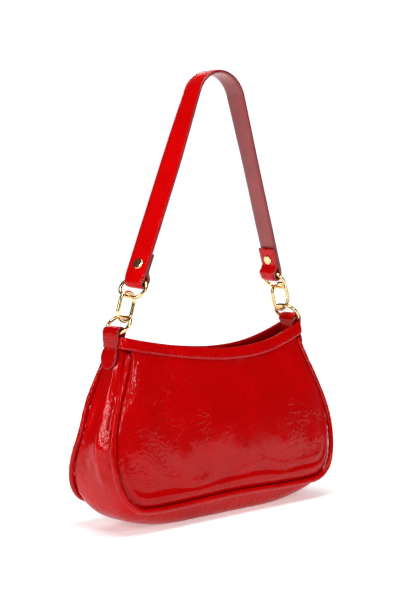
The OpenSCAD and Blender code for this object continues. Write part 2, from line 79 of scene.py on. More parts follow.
# ---- small maths ------------------------------------------------------------------------------
def ease(t):
    """Smooth step from 0 to 1."""
    u = np.clip(t, 0, 1)
    return u * u * (3 - 2 * u)


def bell(x, width):
    """Rounded bump of height 1 at 0."""
    return np.exp(-((x / width) ** 2))


def bezier(p, t):
    p = np.array(p, float)
    t = np.asarray(t, float)[..., None]
    u = 1 - t
    return u**3 * p[0] + 3 * u * u * t * p[1] + 3 * u * t * t * p[2] + t**3 * p[3]


def resample(path, count):
    """The polyline's points at equal steps of its length."""
    step = np.linalg.norm(np.diff(path, axis=0), axis=1)
    length = np.concatenate([[0], np.cumsum(step)])
    at = np.linspace(0, length[-1], count)
    return np.stack([np.interp(at, length, path[:, k]) for k in range(path.shape[1])], 1)


def tangents(path):
    t = np.gradient(path, axis=0)
    return t / np.linalg.norm(t, axis=1)[:, None]


def waves(points, size, seed, count=14):
    """Smooth random height between about -1 and 1, with features of that size."""
    rng = np.random.default_rng(seed)
    d = rng.normal(size=(count, points.shape[-1]))
    pace = (2 * math.pi / size) * rng.uniform(0.6, 1.4, count)[:, None]
    d *= pace / np.linalg.norm(d, axis=1)[:, None]
    phase = rng.uniform(0, 2 * math.pi, count)
    return np.sin(points @ d.T + phase).sum(-1) / math.sqrt(count)


# ---- meshes -----------------------------------------------------------------------------------
def make(name, verts, faces, material, body, slot, smooth=True):
    """New piece from points in millimetres, which rides on that body."""
    mesh = bpy.data.meshes.new(name)
    mesh.from_pydata([tuple(v * MM) for v in np.asarray(verts, float)], [], faces)
    mesh.validate()
    obj = bpy.data.objects.new(name, mesh)
    bpy.context.scene.collection.objects.link(obj)
    mesh.polygons.foreach_set("use_smooth", [smooth] * len(mesh.polygons))
    mesh.materials.append(material)
    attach(obj, body)
    return obj


def ring_faces(rows, cols, close_rows=False, flip=False):
    """Quads between closed rings of points."""
    out = []
    for i in range(rows if close_rows else rows - 1):
        k = (i + 1) % rows
        for j in range(cols):
            q = (j + 1) % cols
            f = [i * cols + j, i * cols + q, k * cols + q, k * cols + j]
            out.append(f[::-1] if flip else f)
    return out


def sheet_mesh(outer, inner, flip=False):
    """Closed sheet between two grids of the same size."""
    rows, cols = outer.shape[:2]
    rings = np.concatenate([outer, inner[:, ::-1]], 1)
    m = 2 * cols
    faces = ring_faces(rows, m, flip=not flip)
    for i, turned in ((0, False), (rows - 1, True)):
        for j in range(cols - 1):
            f = [i * m + j, i * m + j + 1, i * m + m - 2 - j, i * m + m - 1 - j]
            faces.append(f[::-1] if turned == (not flip) else f)
    return rings.reshape(-1, 3), faces


def loft_mesh(rings, closed=False, flip=False):
    """Solid through rings of points, capped at both ends or closed on itself."""
    rings = np.asarray(rings, float)
    n, m = rings.shape[:2]
    faces = ring_faces(n, m, closed, flip)
    if not closed:
        first = list(range(m))
        end = [(n - 1) * m + j for j in range(m)]
        faces.append(first if flip else first[::-1])
        faces.append(end[::-1] if flip else end)
    return rings.reshape(-1, 3), faces


def joined(parts):
    """Several meshes as one."""
    verts, faces, base = [], [], 0
    for v, f in parts:
        verts.append(v)
        faces += [[base + k for k in face] for face in f]
        base += len(v)
    return np.concatenate(verts), faces


# ---- materials --------------------------------------------------------------------------------
BLACK, WHITE = (0, 0, 0, 1), (1, 1, 1, 1)


def new_material(name):
    """Empty material with its nodes, links, shader and the place on the piece in metres."""
    m = bpy.data.materials.new(name)
    m.use_nodes = True
    nodes, links = m.node_tree.nodes, m.node_tree.links
    nodes.clear()
    out = nodes.new("ShaderNodeOutputMaterial")
    shader = nodes.new("ShaderNodeBsdfPrincipled")
    links.new(shader.outputs[0], out.inputs[0])
    place = nodes.new("ShaderNodeTexCoord").outputs["Object"]
    return m, nodes, links, shader, place


def noise(nodes, links, place, scale, detail=3.0, roughness=0.5, stretch=(1, 1, 1), distortion=0.0):
    mapping = nodes.new("ShaderNodeMapping")
    mapping.inputs["Scale"].default_value = stretch
    links.new(place, mapping.inputs["Vector"])
    n = nodes.new("ShaderNodeTexNoise")
    n.inputs["Scale"].default_value = scale
    n.inputs["Detail"].default_value = detail
    n.inputs["Roughness"].default_value = roughness
    n.inputs["Distortion"].default_value = distortion
    links.new(mapping.outputs[0], n.inputs["Vector"])
    return n.outputs["Fac"]


def ramp(nodes, links, value, stops):
    r = nodes.new("ShaderNodeValToRGB")
    r.color_ramp.elements[0].position, r.color_ramp.elements[0].color = stops[0]
    r.color_ramp.elements[1].position, r.color_ramp.elements[1].color = stops[-1]
    for position, colour in stops[1:-1]:
        r.color_ramp.elements.new(position).color = colour
    links.new(value, r.inputs[0])
    return r.outputs[0]


def tint(nodes, links, shader, tone, light, deep, low=0.3, high=0.7):
    """Base colour that runs from deep to light with the tone."""
    colour = ramp(nodes, links, tone, [(low, deep + (1,)), (high, light + (1,))])
    links.new(colour, shader.inputs["Base Color"])


def bump(nodes, links, height, strength, distance, below=None):
    b = nodes.new("ShaderNodeBump")
    b.inputs["Strength"].default_value = strength
    b.inputs["Distance"].default_value = distance
    links.new(height, b.inputs["Height"])
    if below is not None:
        links.new(below, b.inputs["Normal"])
    return b.outputs[0]


def crinkled(name, light, deep, crinkle=1.0, scale=1.0):
    """Patent leather: a deep red under a thin clear coat, with fine crinkles pressed into both."""
    m, nodes, links, shader, place = new_material(name)
    tint(nodes, links, shader, noise(nodes, links, place, 30 * scale, 4, 0.55), light, deep)
    bend = nodes.new("ShaderNodeTexNoise")
    bend.inputs["Scale"].default_value = 70 * scale
    bend.inputs["Detail"].default_value = 2
    links.new(place, bend.inputs["Vector"])
    mix = nodes.new("ShaderNodeVectorMath")
    mix.operation = "MULTIPLY_ADD"
    mix.inputs[1].default_value = (0.012, 0.012, 0.012)
    links.new(bend.outputs["Color"], mix.inputs[0])
    links.new(place, mix.inputs[2])
    cells = nodes.new("ShaderNodeTexVoronoi")
    cells.feature = "DISTANCE_TO_EDGE"
    cells.inputs["Scale"].default_value = 170 * scale
    links.new(mix.outputs[0], cells.inputs["Vector"])
    creases = ramp(nodes, links, cells.outputs["Distance"], [(0.0, BLACK), (0.16, WHITE)])
    long_folds = noise(nodes, links, place, 75 * scale, 5, 0.6, (1.0, 1.0, 0.45), 0.6)
    soft = noise(nodes, links, place, 26 * scale, 2, 0.5)
    pores = noise(nodes, links, place, 900, 2, 0.5)
    patch = noise(nodes, links, place, 22 * scale, 3, 0.6)
    patch = ramp(nodes, links, patch, [(0.42, BLACK), (0.62, WHITE)])
    patchy = nodes.new("ShaderNodeMath")
    patchy.operation = "MULTIPLY"
    links.new(creases, patchy.inputs[0])
    links.new(patch, patchy.inputs[1])
    n = bump(nodes, links, soft, 0.14 * crinkle, 0.004)
    n = bump(nodes, links, long_folds, 0.4 * crinkle, 0.0012, n)
    n = bump(nodes, links, patchy.outputs[0], 0.28 * crinkle, 0.0005, n)
    n = bump(nodes, links, pores, 0.06, 0.0002, n)
    links.new(n, shader.inputs["Normal"])
    links.new(n, shader.inputs["Coat Normal"])
    shader.inputs["Roughness"].default_value = 0.3
    shader.inputs["Specular IOR Level"].default_value = 0.03
    shader.inputs["Coat Weight"].default_value = 0.4
    shader.inputs["Coat Roughness"].default_value = 0.06
    shader.inputs["Coat IOR"].default_value = 1.42
    return m


def plain_leather(name, light, deep, rough, coat):
    """Smooth leather or edge paint with a fine pebbled grain."""
    m, nodes, links, shader, place = new_material(name)
    tint(nodes, links, shader, noise(nodes, links, place, 60, 5, 0.6), light, deep, high=0.72)
    cells = nodes.new("ShaderNodeTexVoronoi")
    cells.inputs["Scale"].default_value = 1300
    links.new(place, cells.inputs["Vector"])
    n = bump(nodes, links, cells.outputs["Distance"], 0.25, 0.0003)
    n = bump(nodes, links, noise(nodes, links, place, 180, 4), 0.2, 0.0006, n)
    links.new(n, shader.inputs["Normal"])
    shader.inputs["Roughness"].default_value = rough
    shader.inputs["Coat Weight"].default_value = coat
    shader.inputs["Coat Roughness"].default_value = 0.2
    return m


def woven(name, light, deep, pitch, slant, rough=0.75):
    """Cloth with diagonal twill ribs, finer with a smaller pitch, or a straight weave at slant 0."""
    m, nodes, links, shader, place = new_material(name)
    ribs_per_metre = 1 / (pitch * 20) * 10 / math.pi
    mapping = nodes.new("ShaderNodeMapping")
    mapping.inputs["Rotation"].default_value = (0, slant, slant)
    links.new(place, mapping.inputs["Vector"])
    ribs = nodes.new("ShaderNodeTexWave")
    ribs.inputs["Scale"].default_value = ribs_per_metre
    ribs.inputs["Distortion"].default_value = 0.4
    links.new(mapping.outputs[0], ribs.inputs["Vector"])
    cross = nodes.new("ShaderNodeTexWave")
    cross.bands_direction = "Z"
    cross.inputs["Scale"].default_value = ribs_per_metre
    links.new(mapping.outputs[0], cross.inputs["Vector"])
    both = nodes.new("ShaderNodeMath")
    both.operation = "MULTIPLY"
    links.new(ribs.outputs["Fac"], both.inputs[0])
    links.new(cross.outputs["Fac"], both.inputs[1])
    tint(nodes, links, shader, both.outputs[0], light, deep, 0.0, 0.8)
    n = bump(nodes, links, both.outputs[0], 0.5, pitch / 3)
    n = bump(nodes, links, noise(nodes, links, place, 40, 3), 0.3, 0.003, n)
    links.new(n, shader.inputs["Normal"])
    shader.inputs["Roughness"].default_value = rough
    shader.inputs["Sheen Weight"].default_value = 0.3
    return m


def polished(name, light, deep, rough=0.14):
    """Plated metal, a little duller where it is worn."""
    m, nodes, links, shader, place = new_material(name)
    tint(nodes, links, shader, noise(nodes, links, place, 160, 3, 0.5), light, deep)
    wear = noise(nodes, links, place, 420, 4, 0.6)
    wear = ramp(nodes, links, wear, [(0.35, (rough,) * 3 + (1,)), (0.75, (rough + 0.16,) * 3 + (1,))])
    links.new(wear, shader.inputs["Roughness"])
    n = bump(nodes, links, noise(nodes, links, place, 1500, 2, 0.5, (1, 1, 0.2)), 0.05, 0.0002)
    n = bump(nodes, links, noise(nodes, links, place, 120, 2), 0.12, 0.0006, n)
    links.new(n, shader.inputs["Normal"])
    shader.inputs["Metallic"].default_value = 1
    return m


RED = (0.48, 0.0, 0.0006)
RED_DEEP = (0.4, 0.0, 0.0002)
PATENT = crinkled("patent_leather", RED, RED_DEEP)
PATENT_SIDE = crinkled("patent_leather_gusset", (0.52, 0.0, 0.0008), (0.42, 0.0, 0.0004), 1.1)
PATENT_STRAP = crinkled("patent_leather_strap", (0.6, 0.0, 0.0004), (0.5, 0.0, 0.0002), 0.8, 1.6)
PATENT_TRIM = crinkled("patent_leather_trim", (0.5, 0.0, 0.0006), (0.4, 0.0, 0.0002), 0.7, 1.3)
BACKING = plain_leather("backing_leather", (0.3, 0.0, 0.0004), (0.2, 0.0, 0.0002), 0.42, 0.3)
EDGE_PAINT = plain_leather("edge_paint", (0.2, 0.001, 0.003), (0.12, 0.0006, 0.002), 0.35, 0.5)
CLOTH = woven("lining_twill", (0.11, 0.006, 0.009), (0.05, 0.002, 0.004), 0.0009, 0.8)
TAPE = woven("zip_tape_weave", (0.26, 0.004, 0.008), (0.13, 0.002, 0.004), 0.0008, 0.0)
THREAD = woven("thread", (0.42, 0.002, 0.006), (0.25, 0.001, 0.003), 0.0004, 0.8, 0.55)
BOARD = woven("board_cloth", (0.09, 0.005, 0.008), (0.04, 0.002, 0.003), 0.0012, 0.0)
GOLD = polished("light_gold", (0.92, 0.68, 0.34), (0.78, 0.5, 0.2))


def refinish(material, *names):
    """Give CAD nodes that are kept a better material."""
    for name in names:
        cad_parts[name].data.materials.clear()
        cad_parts[name].data.materials.append(material)


# ---- camera, light and stage ------------------------------------------------------------------
CAMERA_PLACE = (-0.8856, -0.9177, 0.2691)
CAMERA_RIGHT = (0.72244, -0.69142, -0.00429)
CAMERA_UP = (0.04891, 0.04492, 0.99779)
CAMERA_BACK = (-0.68970, -0.72106, 0.06627)
AIM = (0.0, 0.0, 0.12)
FLOOR_R = 3


def camera():
    data = bpy.data.cameras.new("camera")
    data.lens, data.sensor_width = 87.72, 36
    obj = bpy.data.objects.new("camera", data)
    bpy.context.scene.collection.objects.link(obj)
    rows = [[CAMERA_RIGHT[k], CAMERA_UP[k], CAMERA_BACK[k], 0] for k in range(3)]
    obj.matrix_world = Matrix.Translation(CAMERA_PLACE) @ Matrix(rows + [[0, 0, 0, 1]])
    data.clip_start = 0.05
    bpy.context.scene.camera = obj


def soft_light(name, place, size, power):
    """Rectangular light at that place, turned towards the bag."""
    data = bpy.data.lights.new(name, "AREA")
    data.shape, data.size, data.size_y = "RECTANGLE", size[0], size[1]
    data.energy = power
    obj = bpy.data.objects.new(name, data)
    bpy.context.scene.collection.objects.link(obj)
    away = Vector(place) - Vector(AIM)
    obj.matrix_world = Matrix.Translation(place) @ away.to_track_quat("Z", "Y").to_matrix().to_4x4()


def studio():
    """White to look at, but dim in the reflections, with four soft lights."""
    world = bpy.data.worlds.new("studio")
    bpy.context.scene.world = world
    world.use_nodes = True
    nodes, links = world.node_tree.nodes, world.node_tree.links
    nodes.clear()
    out = nodes.new("ShaderNodeOutputWorld")
    white, dim = nodes.new("ShaderNodeBackground"), nodes.new("ShaderNodeBackground")
    for background, strength in ((white, 1.1), (dim, 0.05)):
        background.inputs["Color"].default_value = WHITE
        background.inputs["Strength"].default_value = strength
    path, mix = nodes.new("ShaderNodeLightPath"), nodes.new("ShaderNodeMixShader")
    links.new(path.outputs["Is Camera Ray"], mix.inputs[0])
    links.new(dim.outputs[0], mix.inputs[1])
    links.new(white.outputs[0], mix.inputs[2])
    links.new(mix.outputs[0], out.inputs[0])
    soft_light("key_left", (-1.5, -0.25, 0.75), (0.22, 0.8), 10)
    soft_light("top", (-0.1, -0.3, 1.7), (1.0, 0.8), 19)
    soft_light("front_high", (-0.1, -1.7, 1.25), (0.5, 0.3), 9)
    soft_light("back_fill", (0.7, 1.4, 0.8), (0.7, 0.7), 7)
    bpy.context.scene.view_settings.view_transform = "Standard"


def floor():
    """Round white floor that glows a little more away from the bag, so that it has no edge."""
    m, nodes, links, shader, place = new_material("floor_paper")
    tint(nodes, links, shader, noise(nodes, links, place, 6, 3), (0.97,) * 3, (0.93,) * 3)
    shader.inputs["Roughness"].default_value = 0.55
    away = nodes.new("ShaderNodeVectorMath")
    away.operation = "LENGTH"
    links.new(place, away.inputs[0])
    glow = ramp(nodes, links, away.outputs["Value"], [(0.12, (0.4, 0.4, 0.4, 1)), (0.6, WHITE)])
    links.new(glow, shader.inputs["Emission Color"])
    shader.inputs["Emission Strength"].default_value = 0.95
    mesh = bpy.data.meshes.new("floor")
    steps = 72
    turns = [2 * math.pi * k / steps for k in range(steps)]
    ring = [(FLOOR_R * math.cos(a), FLOOR_R * math.sin(a), 0) for a in turns]
    mesh.from_pydata(ring, [], [list(range(steps))])
    mesh.materials.append(m)
    obj = bpy.data.objects.new("floor", mesh)
    bpy.context.scene.collection.objects.link(obj)


camera()
studio()
floor()


# ---- outline of the seams ---------------------------------------------------------------------
def seam_outline(count):
    """The seam in the XZ plane, from the left end of the mouth round the bottom to the right."""
    top, hip, foot = (SEAM_TOP_X, SEAM_TOP_Z), (HIP_X, HIP_Z), (HIP_X - 31, SEAM_BOTTOM_Z - 1)
    side = [top, (SEAM_TOP_X + 8, SEAM_TOP_Z - 25), (HIP_X, HIP_Z + 28), hip]
    corner = [hip, (HIP_X, HIP_Z - 27), (HIP_X - 9, SEAM_BOTTOM_Z + 0.5), foot]
    bottom = [foot, (HIP_X - 56, SEAM_BOTTOM_Z - 2.7), (30, SEAM_BOTTOM_Z), (0, SEAM_BOTTOM_Z)]
    t = np.linspace(0, 1, 80)
    half = np.concatenate([bezier(side, t), bezier(corner, t)[1:], bezier(bottom, t)[1:]])
    left = half * [-1, 1]
    return resample(np.concatenate([left, half[-2::-1]]), count)


def normals2(path):
    """Normals of a line in the XZ plane, on its right-hand side."""
    t = tangents(path)
    return np.stack([t[:, 1], -t[:, 0]], 1)


def seam_depth(z, side):
    """Distance of a seam from the bag's middle. Side is -1 at the front and 1 at the back."""
    press = BACK_PRESS * bell(z - 80, 24) if side > 0 else 0
    return DEPTH_AT_FLOOR - DEPTH_LEAN * z - press


def edge_z(x):
    """Height of the mouth's edge, which sags most a little to the right of its middle."""
    sag = -2.0 * np.sin(np.pi * np.clip(x / MOUTH_X, -1, 1))
    return ARC_Z - np.sqrt(MOUTH_ARC**2 - x * x) + sag


def edge_y(x, side):
    """Distance of the mouth's edge from the bag's middle."""
    middle = MOUTH_FRONT_Y if side < 0 else MOUTH_BACK_Y
    return middle + (MOUTH_END_Y - middle) * (x / MOUTH_X) ** 2


# ---- panels -----------------------------------------------------------------------------------
def panel_grid(side, count=300, rows=84):
    """Outer face of one panel: columns follow the seam, rows climb from it to the mouth."""
    seam = seam_outline(count)
    foot = seam - (PIPING_R + SEAM_GAP) * normals2(seam)
    x_top = np.linspace(-PANEL_TOP_X, PANEL_TOP_X, count)
    top = np.stack([x_top, edge_z(x_top) - BINDING_H + TUCK], 1)
    t = np.linspace(0, 1, rows) ** 1.25
    xz = foot[:, None] * (1 - t[None, :, None]) + top[:, None] * t[None, :, None]
    reach = np.linalg.norm(top - foot, axis=1)
    dome = PANEL_DOME * np.minimum(1, reach / 70)[:, None] * (1 - (1 - t) ** 2.2) * (1 - t * t) ** 1.5
    y0 = seam_depth(foot[:, 1], side)
    y1 = edge_y(x_top, side) + SIDE_SPREAD * (BINDING_H - TUCK)
    y = y0[:, None] * (1 - t) + y1[:, None] * t + dome
    away = reach[:, None] * t[None, :]
    arc = np.linspace(0, SEAM_RUN, count)[:, None]
    p3 = np.stack([xz[..., 0], side * y, xz[..., 1]], -1)
    seed = 3 if side < 0 else 40
    low = ease((60 - xz[..., 1]) / 40)
    inside = ease(away / 12) * ease((1 - t) * reach[:, None] / 9)
    y += -1.5 * bell(away, 2.6) + 0.9 * bell(away - 8, 5) * ease(reach[:, None] / 60)
    pucker = np.sin(arc / 1.35 + 2 * waves(p3, 30, seed + 1)) * (0.5 + 0.5 * waves(p3, 45, seed + 2))
    y += 0.22 * pucker * bell(away - 3, 5)
    y += inside * (0.8 * waves(p3, 90, seed + 3) + 0.16 * waves(p3, 26, seed + 4))
    crease = away - 13 - 2.5 * waves(p3, 50, seed + 5)
    y += low * (-0.9 * bell(crease, 2.6) + 0.7 * bell(crease - 5, 4))
    folds = waves(p3 * [1.0, 0.3, 0.35], 16, seed + 6)
    near_side = bell(away - 12, 16) * ease((xz[..., 1] - 35) / 40)
    y += 0.35 * folds * near_side
    return np.stack([xz[..., 0], side * y, xz[..., 1]], -1)


def offset_y(grid, side, depth):
    out = grid.copy()
    out[..., 1] -= side * depth
    return out


for side, word in ((-1, "front"), (1, "back")):
    face = panel_grid(side)
    skin = sheet_mesh(face, offset_y(face, side, LEATHER), side > 0)
    panel = make(f"{word}_panel_leather", *skin, PATENT, "bag", "patent_leather")
    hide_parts(f"{word}_panel")
    cloth = offset_y(face[::3, ::3], side, LEATHER + 0.3)
    skin = sheet_mesh(cloth, offset_y(cloth, side, LINING), side > 0)
    lining = make(f"{word}_lining", *skin, CLOTH, "bag", "lining_cloth")
    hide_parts(f"lining_{word}")


# ---- gusset -----------------------------------------------------------------------------------
def gusset_grid(inset, count=340, cols=49):
    """Face of the gusset sunk by inset: rows follow the seam, columns cross from front to back."""
    seam = seam_outline(count)
    collar = np.array([[COLLAR_X, edge_z(COLLAR_X) - BINDING_H + TUCK]])
    line = np.concatenate([collar * [-1, 1], seam, collar])
    n = normals2(line)
    down = np.maximum(0, -n[:, 1])
    x, z = line[:, 0], line[:, 1]
    top = ease((z - 105) / 42)
    belly = down * (SEAM_BOTTOM_Z + 2.5 - 12 * (np.abs(x) / 110) ** 3)
    bulge = np.maximum(0.8, belly) + (MOUTH_X + END_SPREAD * BINDING_H - COLLAR_X - 0.8) * top
    v = np.linspace(-1, 1, cols)
    fill = (1 - v**4)[None] * (1 - top[:, None]) + (1 - v**8)[None] * top[:, None]
    out = bulge[:, None] * fill
    side = ease((z - 32) / 30)[:, None] * (1 - 0.75 * top[:, None])
    arc = np.linspace(0, SEAM_RUN, len(line))[:, None]
    p2 = np.stack([arc + 0 * v, 30 * v + 0 * arc], -1)
    ridge_at = -0.42 + 0.08 * waves(p2, 60, 60)
    hollows = 1.6 * bell(v + 0.86, 0.12) + 1.8 * bell(v - 0.35, 0.3)
    out = out + side * (3.0 * bell(v - ridge_at, 0.2) - hollows)
    edge = np.minimum(1 - v, 1 + v)
    dents = 0.6 * waves(p2, 48, 61) + 0.16 * waves(p2, 17, 62)
    out += -1.0 * bell(edge, 0.07) + ease(edge / 0.25) * dents * side
    out += 0.22 * np.sin(arc / 1.3 + 2 * waves(p2, 30, 63)) * bell(edge - 0.12, 0.12)
    xy = line[:, None] + n[:, None] * (out - inset)[..., None]
    half_front = seam_depth(z, -1) - PIPING_R - SEAM_GAP
    half_back = seam_depth(z, 1) - PIPING_R - SEAM_GAP
    y = np.where(v[None] < 0, v[None] * half_front[:, None], v[None] * half_back[:, None])
    flat_x = np.minimum(MOUTH_X, np.abs(xy[..., 0])) * np.sign(xy[..., 0])
    near_top = ease((z - SEAM_TOP_Z + 15) / 15)[:, None]
    zz = xy[..., 1] * (1 - near_top) + (z[:, None] + edge_z(flat_x) - edge_z(x)[:, None]) * near_top
    return np.stack([xy[..., 0], y, np.maximum(inset, zz)], -1)


skin = sheet_mesh(gusset_grid(0), gusset_grid(LEATHER), True)
gusset = make("gusset_leather", *skin, PATENT_SIDE, "bag", "patent_leather")
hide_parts("gusset")
skin = sheet_mesh(gusset_grid(LEATHER + 0.5, 170, 25), gusset_grid(LEATHER + 1.1, 170, 25), True)
gusset_cloth = make("gusset_lining", *skin, CLOTH, "bag", "lining_cloth")
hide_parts("lining_gusset")


# ---- piping -----------------------------------------------------------------------------------
def piping_rings(side, count=420, around=16):
    """Round cord along the seam, a little uneven under its leather."""
    seam = seam_outline(count)
    n = normals2(seam)
    a = np.linspace(0, 2 * math.pi, around, endpoint=False)
    arc = np.linspace(0, SEAM_RUN, count)[:, None]
    surface = np.stack([arc + 0 * a, 8 * np.cos(a) + 0 * arc, 8 * np.sin(a) + 0 * arc], -1)
    r = PIPING_R * (1 + 0.045 * waves(surface, 7, 70 + side) + 0.03 * waves(surface, 22, 72 + side))
    xz = seam[:, None] + n[:, None] * (r * np.cos(a))[..., None]
    y = side * seam_depth(seam[:, 1], side)[:, None] + r * np.sin(a)
    return np.stack([xz[..., 0], y, xz[..., 1]], -1)


for side, word in ((-1, "front"), (1, "back")):
    cord_mesh = loft_mesh(piping_rings(side))
    cord = make(f"{word}_piping_leather", *cord_mesh, PATENT_TRIM, "bag", "patent_leather")
    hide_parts(f"{word}_piping")


# ---- mouth ------------------------------------------------------------------------------------
def mouth_plan(count):
    """The mouth's outline seen from above, counterclockwise from the middle of the right end."""
    radius = 4.0
    side_x = MOUTH_X - radius
    quarters = []
    for side in (1, -1):
        y_end = edge_y(side_x, side)
        a = np.radians(np.linspace(0, 86, 12))
        corner = np.stack([side_x + radius * np.cos(a), y_end - radius + radius * np.sin(a)], 1)
        x = np.linspace(side_x, 0, 60)
        quarters.append(np.concatenate([[[MOUTH_X, 0]], corner, np.stack([x, edge_y(x, side)], 1)[1:]]))
    back, front = quarters
    left_back, left_front = back[-2::-1] * [-1, 1], front[1:] * [-1, -1]
    path = np.concatenate([back, left_back, left_front, front[-2::-1] * [1, -1]])
    return resample(path, count + 1)[:-1]


def wall_rings(profile, count=480, keep=None):
    """A band round the mouth: each profile point is (distance outside the wall, height)."""
    plan = mouth_plan(count)
    t = np.roll(plan, -2, 0) - np.roll(plan, 2, 0)
    n = np.stack([t[:, 1], -t[:, 0]], 1) / np.linalg.norm(t, axis=1)[:, None]
    spread = END_SPREAD + (SIDE_SPREAD - END_SPREAD) * np.abs(n[:, 1])
    d, h = np.array(profile, float).T
    q = plan[:, None] + n[:, None] * (d[None] - h[None] * spread[:, None])[..., None]
    z = edge_z(plan[:, 0])[:, None] + h[None]
    rings = np.concatenate([q, z[..., None]], -1)
    return rings if keep is None else rings[keep(plan)]


# The mouth's wall with its lining, the binding's leather, and how far its top edge is rounded
WALL_T = LEATHER + 0.25 + LINING + 2 * AIR
BIND_T = 1.1
BIND_ROUND = 1.7


def binding_profile(steps=6):
    """Folded band with a rounded top, a soft crown and a lower edge that turns in."""
    inner, outer = -WALL_T - BIND_T, BIND_T
    middle, half = (inner + outer) / 2, (outer - inner) / 2
    top = [
        (middle - half * math.cos(a), AIR - BIND_ROUND + BIND_ROUND * math.sin(a))
        for a in np.linspace(0, math.pi, 2 * steps + 1)
    ]
    down = [
        (outer + 0.35 * math.sin(math.pi * k / 7), -1.6 - (BINDING_H - 2.1) * k / 7)
        for k in range(1, 7)
    ]
    outer_lip = [(outer - 0.1, -BINDING_H + 0.3), (outer - 0.5, -BINDING_H)]
    inner_lip = [(inner + 0.4, -BINDING_H), (inner, -BINDING_H + 0.4)]
    return top + down + outer_lip + inner_lip


band_rings = wall_rings(binding_profile())
ripples = 0.16 * waves(band_rings, 14, 81)[..., None] + 0.3 * waves(band_rings, 55, 82)[..., None]
centre = band_rings.mean(1, keepdims=True)
band_rings = band_rings + (band_rings - centre) * [0.02, 0.06, 0] * ripples * 2
band_rings[..., 1] += 0.25 * waves(band_rings, 60, 83)
band_mesh = loft_mesh(band_rings, closed=True, flip=True)
band = make("mouth_binding_leather", *band_mesh, PATENT_TRIM, "bag", "patent_leather")
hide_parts("mouth_binding")

FACING_D, FACING_T, FACING_END_X = WALL_T + 0.5, 0.9, 96
for side, word in ((-1, "front"), (1, "back")):
    top, foot, far = -BINDING_H + 0.6, -ZIP_DEPTH - 1, -FACING_D - FACING_T
    profile = [(-FACING_D, top), (-FACING_D, foot), (far, foot), (far, top)]
    rings = wall_rings(profile, keep=lambda p: (np.abs(p[:, 0]) < FACING_END_X) & (p[:, 1] * side > 0))
    strip = loft_mesh(rings, flip=True)
    facing = make(f"facing_{word}_leather", *strip, BACKING, "bag", "patent_leather", smooth=False)
    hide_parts(f"facing_{word}")


# ---- stitches ---------------------------------------------------------------------------------
def stitch_row(path, normal, length=2.5, gap=0.9, radius=0.24):
    """Short raised threads along a polyline, lying on the surface that has those normals."""
    step = np.linalg.norm(np.diff(path, axis=0), axis=1)
    run = np.concatenate([[0], np.cumsum(step)])
    parts = []
    for k in range(int(run[-1] / (length + gap))):
        at = (k + np.linspace(0.04, 0.96, 6) * length / (length + gap)) * (length + gap)
        p = np.stack([np.interp(at, run, path[:, c]) for c in range(3)], 1)
        n = np.stack([np.interp(at, run, normal[:, c]) for c in range(3)], 1)
        t = tangents(p)
        b = np.cross(t, n)
        swell = np.sin(np.linspace(0.25, math.pi - 0.25, 6))[:, None]
        a = np.linspace(0, 2 * math.pi, 6, endpoint=False)
        ring = p[:, None] + radius * swell[..., None] * (
            np.cos(a)[None, :, None] * b[:, None] + (0.45 + np.sin(a))[None, :, None] * n[:, None]
        )
        parts.append(loft_mesh(ring))
    return joined(parts)


def binding_stitches():
    """Row of stitches just above the binding's lower edge, all round the mouth."""
    height = -BINDING_H + 1.5
    ring = wall_rings([(BIND_T + 0.12, height), (BIND_T + 1.12, height)])
    path, n = ring[:, 0], ring[:, 1] - ring[:, 0]
    path = np.concatenate([path, path[:1]])
    n = np.concatenate([n, n[:1]])
    return stitch_row(path, n / np.linalg.norm(n, axis=1)[:, None])


make("binding_stitches", *binding_stitches(), THREAD, "bag", "patent_leather")

refinish(BOARD, "base_board")


# ---- zip --------------------------------------------------------------------------------------
ZIP_ARC = MOUTH_ARC + ZIP_DEPTH
ROW_START, ROW_END = -91.5, 91.0
ROW_CLOSED_Y, TOOTH_PITCH = 1.1, 1.9
# The rows open out from behind the slider, over this length
OPEN_FROM, OPEN_RUN = -SLIDER_X - 6.5, 34
OPEN_TO = OPEN_FROM + OPEN_RUN


def zip_z(x):
    return ARC_Z - np.sqrt(ZIP_ARC**2 - x * x)


def row_y(x):
    """Distance of a row of teeth from the zip's middle."""
    return ROW_CLOSED_Y + (ZIP_OPEN - ROW_CLOSED_Y) * ease((x - OPEN_FROM) / OPEN_RUN)


def tape_edge(x, side):
    """Distance of a tape's sewn edge from the zip's middle."""
    return edge_y(x, side) + SIDE_SPREAD * ZIP_DEPTH - FACING_D - FACING_T + 0.5 + side * ZIP_FRONT


def tooth():
    """One moulded tooth: a waisted block with a domed head towards the other row."""
    profile = [(-1.5, 0.45), (-0.5, 0.42), (0.15, 0.34), (0.7, 0.6), (1.15, 0.5)]
    rings = [[(w, y, 0.75), (-w, y, 0.75), (-w * 1.05, y, -0.75), (w * 1.05, y, -0.75)] for y, w in profile]
    return loft_mesh(np.array(rings), flip=True)


def teeth(side):
    """One row of teeth; the back row is half a pitch along, so that the two mesh."""
    v, f = tooth()
    parts = []
    for k in range(int((ROW_END - ROW_START) / TOOTH_PITCH)):
        x = ROW_START + (k + (0.5 if side > 0 else 0.0)) * TOOTH_PITCH + 0.8
        placed = v * [1, -side, 1] + [x, side * row_y(x) - ZIP_FRONT, zip_z(x)]
        parts.append((placed, f if side < 0 else [face[::-1] for face in f]))
    return joined(parts)


